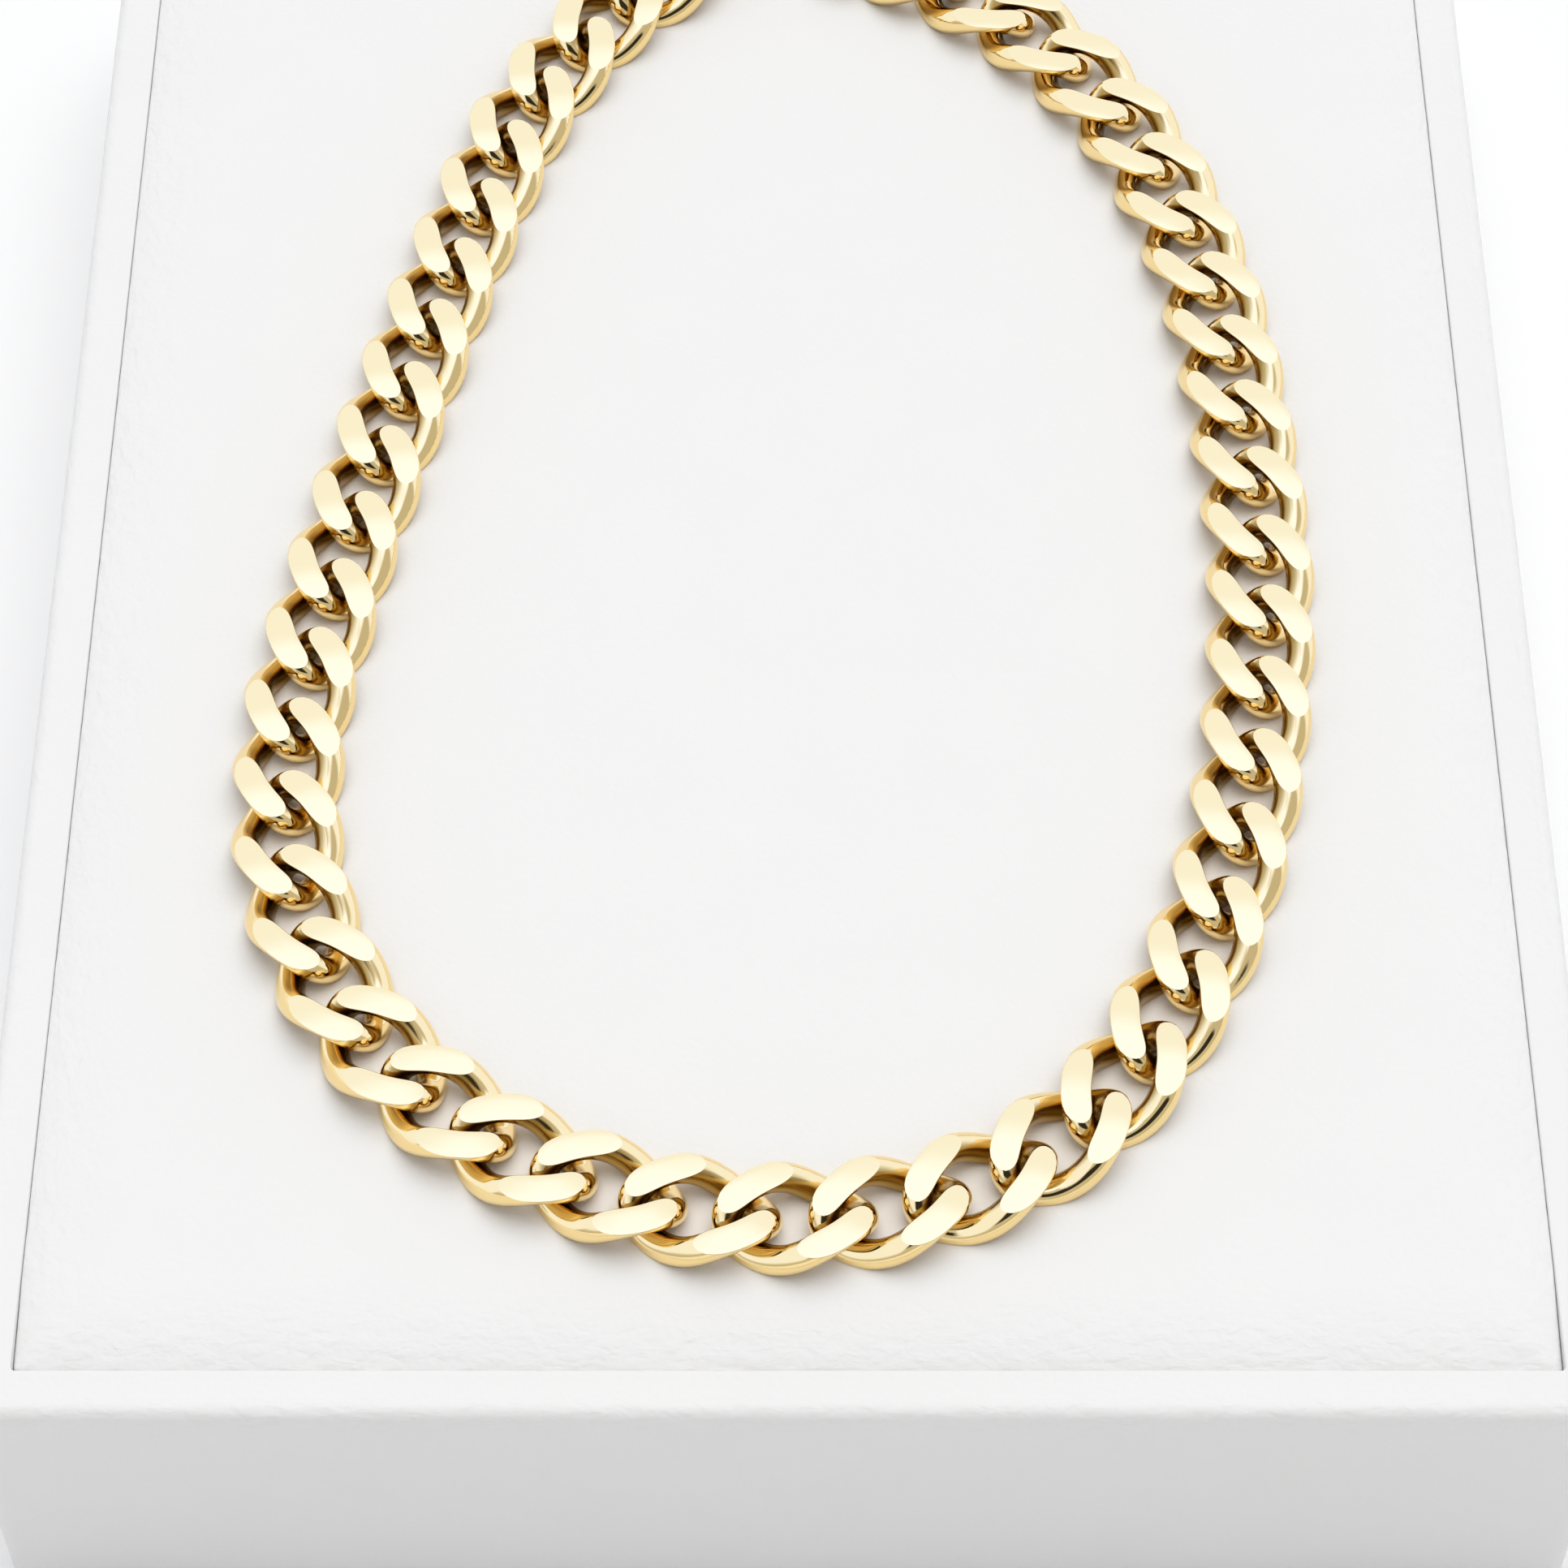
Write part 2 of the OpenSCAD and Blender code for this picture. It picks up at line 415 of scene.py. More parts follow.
        own_exact = np.concatenate([crown, crown[:, -1:] + (1 - crown[:, -1:]) * theta], 1)
        own = np.where(wide, own_exact, np.where(filed[:, None], own_general, 1.0))
        return rise, side, own, opening[:, 0]

    def surface(self) -> tuple[np.ndarray, np.ndarray, np.ndarray, np.ndarray]:
        """Points and shading directions of one link, with how far each point is filed and how much painted shade it
        gets.

        Round each section the points run over the upper flat, down the wire's outer side, over the lower flat and
        up the inner side, so that the edges of both flats lie on lines of the grid.

        Painted shade darkens the wire's inner half, where shade falls between the links: a smooth step of a point's
        side towards the opening, which starts earlier by the turn share where the wire turns back at the link's ends.
        On its lower half, where the chain shades the pad under it, the painted shade is low_share as strong.

        Returns:
            Two arrays of rings by points by three, and two of rings by points.
        """
        mid, _, rise, side = self.frame_at(self.stations())
        r, half_t = self.wire_d / 2, self.chain_t / 2
        slope = rise[:, 2] * r
        top = self.flat_zone((half_t - mid[:, 2]) / slope)
        low = self.flat_zone((half_t + mid[:, 2]) / slope)
        step = np.linspace(0, 1, self.round_steps + 1)[None, 1:-1]
        down = top[3][:, None] + (np.pi - low[3] - top[3])[:, None] * step
        rows_rise = [np.concatenate([top[0][:, :0:-1], top[0]], 1), r * np.cos(down),
                     -np.concatenate([low[0][:, ::-1], low[0][:, 1:]], 1), r * np.cos(down[:, ::-1])]
        rows_side = [np.concatenate([-top[1][:, :0:-1], top[1]], 1), r * np.sin(down),
                     np.concatenate([low[1][:, ::-1], -low[1][:, 1:]], 1), -r * np.sin(down[:, ::-1])]
        ones = np.ones_like(down)
        rows_own = [np.concatenate([top[2][:, :0:-1], top[2]], 1), ones,
                    np.concatenate([low[2][:, ::-1], low[2][:, 1:]], 1), ones]
        e, f, own = (np.concatenate(rows, 1)[..., None] for rows in (rows_rise, rows_side, rows_own))
        points = mid[:, None] + e * rise[:, None] + f * side[:, None]
        wire = unit(e * rise[:, None] + f * side[:, None])
        # painted shade: darker on the wire's inner half and, weaker, on its lower half, where shade falls between and
        # under the links; none on the filed flats
        under = smooth_step((self.low_from - e / r) / self.painted_shade_ease)
        flat = np.sign(e) * (UP + self.long_crown * (rise[:, None] - UP))
        filed = 1 - smooth_step((own - self.crown) / (0.5 - self.crown))
        turned = smooth_step((np.abs(mid[:, 0]) / self.half_len - self.turn_from) / self.turn_ease)[:, None, None]
        start = self.painted_shade_from - self.painted_shade_turn * turned
        inner = smooth_step((-f / r - start) / self.painted_shade_ease)
        painted_shade = np.maximum(inner, self.low_share * under) * (1 - filed)
        return points, unit(own * wire + (1 - own) * flat), filed[..., 0], painted_shade[..., 0]


@dataclass(frozen=True)
class Laying:
    """Where the links and the clasp lie on the route."""

    route: Route = field(default_factory=Route)
    link: LinkShape = field(default_factory=LinkShape)
    clasp_len: float = 10.0
    clasp_back: float = 42.0
    box_h: float = 42.0
    pad_proud: float = 0.8
    seat_gap: float = 0.1

    @property
    def height(self) -> float:
        """Height of the chain's middle."""
        return self.box_h + self.pad_proud + self.seat_gap + self.link.chain_t / 2

    @property
    def clasp_mid(self) -> float:
        """Distance along the route of the clasp's middle."""
        return -self.clasp_back * self.route.scale()

    def seats(self) -> tuple[np.ndarray, float]:
        """Places of the links along the route, evenly over what the clasp leaves free.

        Returns:
            Distances of all links, the clasp's own two first and last, and the step between them.
        """
        span = self.clasp_len + 2 * self.link.half_len
        rest = self.route.necklace_len - span
        gaps = round(rest / self.link.pitch)
        step = rest / gaps
        return self.clasp_mid + span / 2 + step * np.arange(gaps + 1), step

    def lay(self, chosen: np.ndarray) -> tuple[np.ndarray, np.ndarray, np.ndarray, dict[str, np.ndarray]]:
        """Copies of the link, each turned to the route's direction at its seat.

        Args:
            chosen: Numbers of the seats.

        Returns:
            Points, shading directions and faces of the copies, and the finish's two shares at each point.
        """
        seats, step = self.seats()
        at = self.route.place(seats[chosen], self.link.chain_w)
        way = self.route.heading(seats[chosen], step / 2, self.link.chain_w)
        points, normals, filed, painted_shade = self.link.surface()
        rows, columns = points.shape[:2]
        turn = np.zeros((len(chosen), 3, 3))
        turn[:, 0, 0], turn[:, 0, 1] = way[:, 0], -way[:, 1]
        turn[:, 1, 0], turn[:, 1, 1] = way[:, 1], way[:, 0]
        turn[:, 2, 2] = 1
        seat = np.column_stack([at, np.full(len(chosen), self.height)])
        laid = np.einsum("nij,rcj->nrci", turn, points) + seat[:, None, None]
        facing = np.einsum("nij,rcj->nrci", turn, normals)
        one = ring_faces(rows, columns, rows)
        faces = (one[None] + (np.arange(len(chosen)) * rows * columns)[:, None, None]).reshape(-1, 4)
        # the filed flats' share, and the share of painted shade
        shares = {"filed": np.tile(filed.ravel(), len(chosen)), "painted_shade": np.tile(painted_shade.ravel(), len(chosen))}
        return laid.reshape(-1, 3), facing.reshape(-1, 3), faces, shares


@dataclass(frozen=True)
class PolishedGold:
    """Yellow gold plate: a faint painted highlight makes it paler on the filed flats, and painted shade makes it
    deeper where shade falls inside and under the links.
    """

    tint: Tint = (1.0, 0.78, 0.38)
    warm_tint: Tint = (1.0, 0.75, 0.34)
    # faint painted highlight: the filed flats a shade paler than the rest of the gold
    painted_highlight_tint: Tint = (1.0, 0.79, 0.39)
    # dark brown painted shade inside and under the links
    painted_shade_tint: Tint = (0.43, 0.26, 0.06)
    roughness: float = 0.03
    painted_shade_roughness: float = 0.17
    mark_scale: float = 260.0
    mark_spread: float = 0.02
    mark_strength: float = 0.02
    mark_depth: float = 0.02

    def material(self) -> bpy.types.Material:
        """Builds the metal from the corners' share of filed flat, which gets a faint painted highlight, and their
        share of painted shade, with a slow drift and fine marks.

        Returns:
            The finished material.
        """
        mat, tree, shader = new_material("polished_gold")
        shader.inputs["Metallic"].default_value = 1.0
        marks = place_group(tree, fine_marks_group(),
                            {"Scale": self.mark_scale, "Roughness": self.roughness, "Spread": self.mark_spread})
        filed, painted_shade = corner_share(tree, "filed"), corner_share(tree, "painted_shade")
        color = tint_mix(tree, marks["Patch"], self.tint, self.warm_tint)
        # faint painted highlight on the filed flats
        color = tint_mix(tree, filed, color, self.painted_highlight_tint)
        # painted shade: the darker tint, with a rougher gloss, where shade falls inside and under the links
        color = tint_mix(tree, painted_shade, color, self.painted_shade_tint)
        dull = math_node(tree, "MULTIPLY", painted_shade, self.painted_shade_roughness)
        feed(tree, color, shader.inputs["Base Color"])
        feed(tree, math_node(tree, "ADD", marks["Roughness"], dull), shader.inputs["Roughness"])
        relief(tree, shader, marks["Height"], self.mark_strength, self.mark_depth)
        return mat


@dataclass(frozen=True)
class Leatherette:
    """Satin white leatherette with a fine pebble, and wrinkles where it is pulled over an edge."""

    name: str
    color: Tint = (0.875, 0.87, 0.862)
    # painted warm light, as if thrown by the polished gold onto the pad where the chain lies
    painted_gold_light_color: Tint = (1.0, 0.96, 0.90)
    roughness: float = 0.5
    pebble: float = 0.14
    wrinkle: float = 1.2
    specular: float = 0.35
    grain_strength: float = 0.6
    grain_depth: float = 0.4

    def material(self) -> bpy.types.Material:
        """Builds the leatherette.

        The shares "pull" and "side_pull" say where it is stretched over an edge, and the last share where the chain
        lies on it, where its colour is painted paler and warmer: painted light that the polished gold throws on it.

        Returns:
            The finished material.
        """
        mat, tree, shader = new_material(self.name)
        shader.inputs["Specular IOR Level"].default_value = self.specular
        # painted light: paler, warmer colour where the chain lies, standing in for light the gold throws
        color = tint_mix(tree, corner_share(tree, "painted_gold_light"), self.color, self.painted_gold_light_color)
        grain = place_group(tree, grain_group(),
                            {"Color": color, "Pebble": self.pebble, "Wrinkle": self.wrinkle,
                             "Roughness": self.roughness, "Pull": corner_share(tree, "pull"),
                             "Side Pull": corner_share(tree, "side_pull")})
        feed(tree, grain["Color"], shader.inputs["Base Color"])
        feed(tree, grain["Roughness"], shader.inputs["Roughness"])
        relief(tree, shader, grain["Height"], self.grain_strength, self.grain_depth)
        return mat


def new_material(name: str) -> tuple[bpy.types.Material, Tree, bpy.types.ShaderNode]:
    """An empty node material.

    Args:
        name: Name of the material.

    Returns:
        The material, its tree and its Principled shader.
    """
    mat = bpy.data.materials.new(name)
    mat.use_nodes = True
    return mat, mat.node_tree, mat.node_tree.nodes["Principled BSDF"]


def feed(tree: Tree, value: Socket | float | Tint, socket: Socket) -> None:
    """Links a socket to another one, or sets it to a number or to an opaque tint.

    Args:
        tree: Tree that both sockets are in.
        value: What the socket gets.
        socket: The socket.
    """
    if isinstance(value, Socket):
        tree.links.new(value, socket)
    else:
        socket.default_value = (*value, 1) if isinstance(value, tuple) else value


def corner_share(tree: Tree, name: str) -> Socket:
    """The share that a piece's corners carry under a name.

    Args:
        tree: Tree that the node goes into.
        name: Name of the share.

    Returns:
        Its socket.
    """
    node = tree.nodes.new("ShaderNodeAttribute")
    node.attribute_name = name
    return node.outputs["Fac"]


def tint_mix(tree: Tree, share: Socket | float, first: Socket | Tint, second: Socket | Tint,
             blend: str = "MIX") -> Socket:
    """Mixes two tints.

    Args:
        tree: Tree that the node goes into.
        share: Socket or number with the second tint's share.
        first: Socket or tint.
        second: Socket or tint.
        blend: Name of the way they mix.

    Returns:
        The mixed tint's socket.
    """
    node = tree.nodes.new("ShaderNodeMix")
    node.data_type, node.blend_type = "RGBA", blend
    for label, value in (("Factor", share), ("A", first), ("B", second)):
        feed(tree, value, node.inputs[label])
    return node.outputs["Result"]


def math_node(tree: Tree, operation: str, first: Socket | float, second: Socket | float) -> Socket:
    """One Math node.

    Args:
        tree: Tree that the node goes into.
        operation: Name of the operation.
        first: Socket or number.
        second: Socket or number.

    Returns:
        The result's socket.
    """
    node = tree.nodes.new("ShaderNodeMath")
    node.operation = operation
    for slot, value in enumerate((first, second)):
        feed(tree, value, node.inputs[slot])
    return node.outputs[0]


def step_node(tree: Tree, value: Socket, span: Span, ends: Span, kind: str = "SMOOTHSTEP") -> Socket:
    """One step, which stays level before and after.

    Args:
        tree: Tree that the node goes into.
        value: Socket that the step reads.
        span: Values between which it rises or falls.
        ends: What it gives before and after.
        kind: Name of the way it rises or falls.

    Returns:
        The result's socket.
    """
    node = tree.nodes.new("ShaderNodeMapRange")
    node.interpolation_type = kind
    for label, number in zip(("From Min", "From Max", "To Min", "To Max"), (*span, *ends)):
        node.inputs[label].default_value = number
    tree.links.new(value, node.inputs["Value"])
    return node.outputs["Result"]


def noise_node(tree: Tree, place: Socket, scale: Socket | float, detail: float, distortion: float = 0.0) -> Socket:
    """One noise pattern.

    Args:
        tree: Tree that the node goes into.
        place: Socket with the place that it reads.
        scale: Socket or number of noise cells for each metre.
        detail: How many finer layers it has.
        distortion: How far it is bent.

    Returns:
        The pattern's socket, with values round a half.
    """
    node = tree.nodes.new("ShaderNodeTexNoise")
    for label, value in (("Vector", place), ("Scale", scale), ("Detail", detail), ("Distortion", distortion)):
        feed(tree, value, node.inputs[label])
    return node.outputs["Fac"]


def relief(tree: Tree, shader: bpy.types.ShaderNode, height: Socket, strength: float, depth: float) -> None:
    """Gives a shader a bump.

    Args:
        tree: Tree that the shader is in.
        shader: The shader.
        height: Socket with the bump's height.
        strength: Share of the bump that shows.
        depth: How many millimetres a height of one stands for.
    """
    bump = tree.nodes.new("ShaderNodeBump")
    for label, value in (("Strength", strength), ("Distance", depth * MM), ("Height", height)):
        feed(tree, value, bump.inputs[label])
    tree.links.new(bump.outputs["Normal"], shader.inputs["Normal"])


def group_tree(name: str, inputs: dict[str, tuple[str, float | tuple[float, ...]]],
               outputs: dict[str, str]) -> tuple[Tree, bpy.types.Node, bpy.types.Node]:
    """A new shader node group with named sockets.

    Args:
        name: Name of the group.
        inputs: Socket type and default value by name.
        outputs: Socket type by name.

    Returns:
        The group and its input and output nodes.
    """
    tree = bpy.data.node_groups.new(name, "ShaderNodeTree")
    for label, (kind, value) in inputs.items():
        tree.interface.new_socket(label, in_out="INPUT", socket_type=kind).default_value = value
    for label, kind in outputs.items():
        tree.interface.new_socket(label, in_out="OUTPUT", socket_type=kind)
    return tree, tree.nodes.new("NodeGroupInput"), tree.nodes.new("NodeGroupOutput")


def place_group(tree: Tree, group: Tree, values: dict[str, Socket | float]) -> bpy.types.NodeOutputs:
    """Places a node group in a material.

    Args:
        tree: The material's tree.
        group: The group.
        values: Socket or number for each of its inputs.

    Returns:
        The group's outputs.
    """
    node = tree.nodes.new("ShaderNodeGroup")
    node.node_tree = group
    for label, value in values.items():
        feed(tree, value, node.inputs[label])
    return node.outputs


def fine_marks_group() -> Tree:
    """Group of faint polishing marks: slow patches of tint, and fine noise for gloss and relief.

    Returns:
        The group, built at the first call.
    """
    if "fine_marks" in bpy.data.node_groups:
        return bpy.data.node_groups["fine_marks"]
    tree, start, end = group_tree(
        "fine_marks",
        {"Scale": ("NodeSocketFloat", 260.0), "Roughness": ("NodeSocketFloat", 0.06),
         "Spread": ("NodeSocketFloat", 0.03)},
        {"Patch": "NodeSocketFloat", "Roughness": "NodeSocketFloat", "Height": "NodeSocketFloat"})
    place = tree.nodes.new("ShaderNodeTexCoord").outputs["Object"]
    scale, roughness, spread = (start.outputs[label] for label in ("Scale", "Roughness", "Spread"))
    patch = noise_node(tree, place, scale, 1.0)
    fine = noise_node(tree, place, math_node(tree, "MULTIPLY", scale, FINE_TIMES), 4.0)
    feed(tree, patch, end.inputs["Patch"])
    feed(tree, math_node(tree, "ADD", math_node(tree, "MULTIPLY", fine, spread), roughness), end.inputs["Roughness"])
    feed(tree, fine, end.inputs["Height"])
    return tree


@dataclass(frozen=True)
class Grain:
    """Sizes of the leatherette's patterns, in noise cells for each metre, and how far they shade it."""

    pebble_scale: float = 1500.0
    mottle_scale: float = 90.0
    mottle_detail: float = 3.0
    crease_scale: float = 760.0
    crease_detail: float = 2.0
    crease_distortion: float = 0.35
    crease_stretch: float = 0.55
    darkest: float = 0.975
    gloss_spread: float = 0.12


def grain_group() -> Tree:
    """Group of leatherette grain: a fine pebble all over, and longer wrinkles where the sheet is pulled.

    Returns:
        The group, built at the first call.
    """
    if "leather_grain" in bpy.data.node_groups:
        return bpy.data.node_groups["leather_grain"]
    tree, start, end = group_tree(
        "leather_grain",
        {"Color": ("NodeSocketColor", (0.86, 0.86, 0.87, 1.0)), "Pebble": ("NodeSocketFloat", 0.1),
         "Wrinkle": ("NodeSocketFloat", 0.25), "Roughness": ("NodeSocketFloat", 0.5),
         "Pull": ("NodeSocketFloat", 0.0), "Side Pull": ("NodeSocketFloat", 0.0)},
        {"Color": "NodeSocketColor", "Roughness": "NodeSocketFloat", "Height": "NodeSocketFloat"})
    grain = Grain()
    place = tree.nodes.new("ShaderNodeTexCoord").outputs["Object"]
    pebble = noise_node(tree, place, grain.pebble_scale, 0.0)
    mottle = noise_node(tree, place, grain.mottle_scale, grain.mottle_detail)
    pebbled = math_node(tree, "MULTIPLY", pebble, start.outputs["Pebble"])
    creased = 0.0
    along = grain.crease_stretch
    for socket, stretch in (("Pull", (along, 1.0, 1.0)), ("Side Pull", (1.0, along, 1.0))):
        turn = tree.nodes.new("ShaderNodeMapping")
        turn.inputs["Scale"].default_value = stretch
        tree.links.new(place, turn.inputs["Vector"])
        crease = noise_node(tree, turn.outputs["Vector"], grain.crease_scale, grain.crease_detail,
                            grain.crease_distortion)
        pulled = math_node(tree, "MULTIPLY", start.outputs[socket], start.outputs["Wrinkle"])
        creased = math_node(tree, "ADD", math_node(tree, "MULTIPLY", crease, pulled), creased)
    shade = step_node(tree, mottle, (0.0, 1.0), (grain.darkest, 1.0), "LINEAR")
    gloss = math_node(tree, "MULTIPLY", mottle, grain.gloss_spread)
    feed(tree, math_node(tree, "ADD", pebbled, creased), end.inputs["Height"])
    feed(tree, tint_mix(tree, 1.0, start.outputs["Color"], shade, "MULTIPLY"), end.inputs["Color"])
    feed(tree, math_node(tree, "ADD", start.outputs["Roughness"], gloss), end.inputs["Roughness"])
    return tree


@dataclass
class Chain:
    """The loose links between the clasp's own two, in two halves."""

    laying: Laying
    finish: bpy.types.Material

    def build(self, side: Side) -> bpy.types.Object:
        """Makes one half of the chain.

        Args:
            side: Which half.

        Returns:
            The half as one piece.
        """
        loose = np.arange(1, len(self.laying.seats()[0]) - 1)
        low, high = (round(len(loose) * share) for share in side.value)
        points, normals, faces, shares = self.laying.lay(loose[low:high])
        piece = new_piece(f"chain_{side.name.lower()}", points, faces, normals=normals)
        mark(piece, shares)
        dress(piece, self.finish, "chain")
        return piece


@dataclass
class Clasp:
    """A plain bevelled bar between the two links that are soldered to it."""

    laying: Laying
    finish: bpy.types.Material
    width: float = 9.5
    thickness: float = 3.7
    bevel: float = 1.0
    edge_round: float = 0.22
    edge_steps: int = 5
    stations: int = 24
    crisp_angle: float = 50.0
    level_slack: float = 0.01

    def section(self, inset: float) -> np.ndarray:
        """Outline of the bar: a rectangle with bevelled corners, its eight edges rounded.

        Args:
            inset: How far the outline is drawn in, for the rounds at the bar's ends.

        Returns:
            Points across and up, counter-clockwise seen along the route.
        """
        w, t, c = self.width / 2 - inset, self.thickness / 2 - inset, self.bevel
        sharp = np.array([[w, -t + c], [w, t - c], [w - c, t], [-w + c, t],
                          [-w, t - c], [-w, -t + c], [-w + c, -t], [w - c, -t]])
        before, after = np.roll(sharp, 1, 0) - sharp, np.roll(sharp, -1, 0) - sharp
        share = np.linspace(0, 1, self.edge_steps)[None, :, None]
        a = sharp + unit(before) * self.edge_round
        b = sharp + unit(after) * self.edge_round
        curve = (1 - share) ** 2 * a[:, None] + 2 * share * (1 - share) * sharp[:, None] + share ** 2 * b[:, None]
        return curve.reshape(-1, 2)

    def build(self) -> bpy.types.Object:
        """Makes the bar along the route, with its two links.

        The bar's ends are quarter rounds: at angle a the outline is drawn in by e (1 - sin a) and lies e (1 - cos a)
        short of the bar's end, with e the edge round.

        Returns:
            The bar and its links as one piece.
        """
        link = self.laying.link
        bend = np.linspace(0, np.pi / 2, self.edge_steps)
        inset = self.edge_round * (1 - np.sin(bend))
        reach = self.laying.clasp_len / 2 - self.edge_round * (1 - np.cos(bend))
        body = np.linspace(-1, 1, self.stations)[1:-1] * reach.min()
        along = np.concatenate([-reach, body, reach[::-1]])
        draw = np.concatenate([inset, np.zeros_like(body), inset[::-1]])
        s = self.laying.clasp_mid + along
        at = self.laying.route.place(s, link.chain_w)
        way = self.laying.route.heading(s, self.laying.seats()[1] / 2, link.chain_w)
        left = np.stack([-way[:, 1], way[:, 0]], -1)
        outline = np.stack([self.section(d) for d in draw])
        plan = at[:, None] + left[:, None] * outline[..., :1]
        bar = np.concatenate([plan, outline[..., 1:] + self.laying.height], -1)
        rows, columns = bar.shape[:2]
        quads, caps = closed_stack(rows, columns)
        ends, _, faces, shares = self.laying.lay(np.array([0, len(self.laying.seats()[0]) - 1]))
        piece = new_piece("clasp_bar", np.concatenate([bar.reshape(-1, 3), ends]),
                          np.concatenate([quads, faces + rows * columns]), caps)
        piece.data.set_sharp_from_angle(angle=math.radians(self.crisp_angle))
        off_middle = np.abs(bar[..., 2].ravel() - self.laying.height)
        level = (off_middle > self.thickness / 2 - self.level_slack).astype(float)
        # the bar's level faces take the filed flats' faint painted highlight; the bar gets no painted shade
        mark(piece, {"filed": np.concatenate([level, shares["filed"]]),
                     "painted_shade": np.concatenate([0 * level, shares["painted_shade"]])})
        dress(piece, self.finish, "clasp")
        return piece


def dress(piece: bpy.types.Object, finish: bpy.types.Material, node: str) -> None:
    """Gives a piece its finish and its place in the model.

    Args:
        piece: The piece.
        finish: Its material.
        node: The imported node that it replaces.
    """
    piece.data.materials.append(finish)
    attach(piece, ROOT)
    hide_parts(node)


def round_rectangle(half: np.ndarray, radius: np.ndarray, side_steps: tuple[int, int], arc_steps: int) -> np.ndarray:
    """Rings of points round rectangles with round corners, all with the same number of points.

    Args:
        half: Half width and half depth of each rectangle.
        radius: Corner radius of each.
        side_steps: Steps along the sides that run along X and along Y.
        arc_steps: Steps round a corner.

    Returns:
        Rectangles by points by two, counter-clockwise from the right side's lower end.
    """
    rings = []
    for corner, (sx, sy) in enumerate(((1, 1), (-1, 1), (-1, -1), (1, -1))):
        centre = np.array([sx, sy]) * (half - radius[:, None])
        turn = np.pi / 2 * (corner + np.linspace(0, 1, arc_steps + 1))
        arc = centre[:, None] + radius[:, None, None] * np.stack([np.cos(turn), np.sin(turn)], -1)
        ahead = np.array(((-1, 1), (-1, -1), (1, -1), (1, 1))[corner]) * (half - radius[:, None])
        angle = np.pi / 2 * (corner + 1)
        target = ahead + radius[:, None] * np.array([np.cos(angle), np.sin(angle)])
        steps = side_steps[corner % 2]
        share = np.linspace(0, 1, steps + 1)[None, 1:-1, None]
        straight = arc[:, -1:] * (1 - share) + target[:, None] * share
        rings += [arc, straight]
    return np.concatenate(rings, 1)


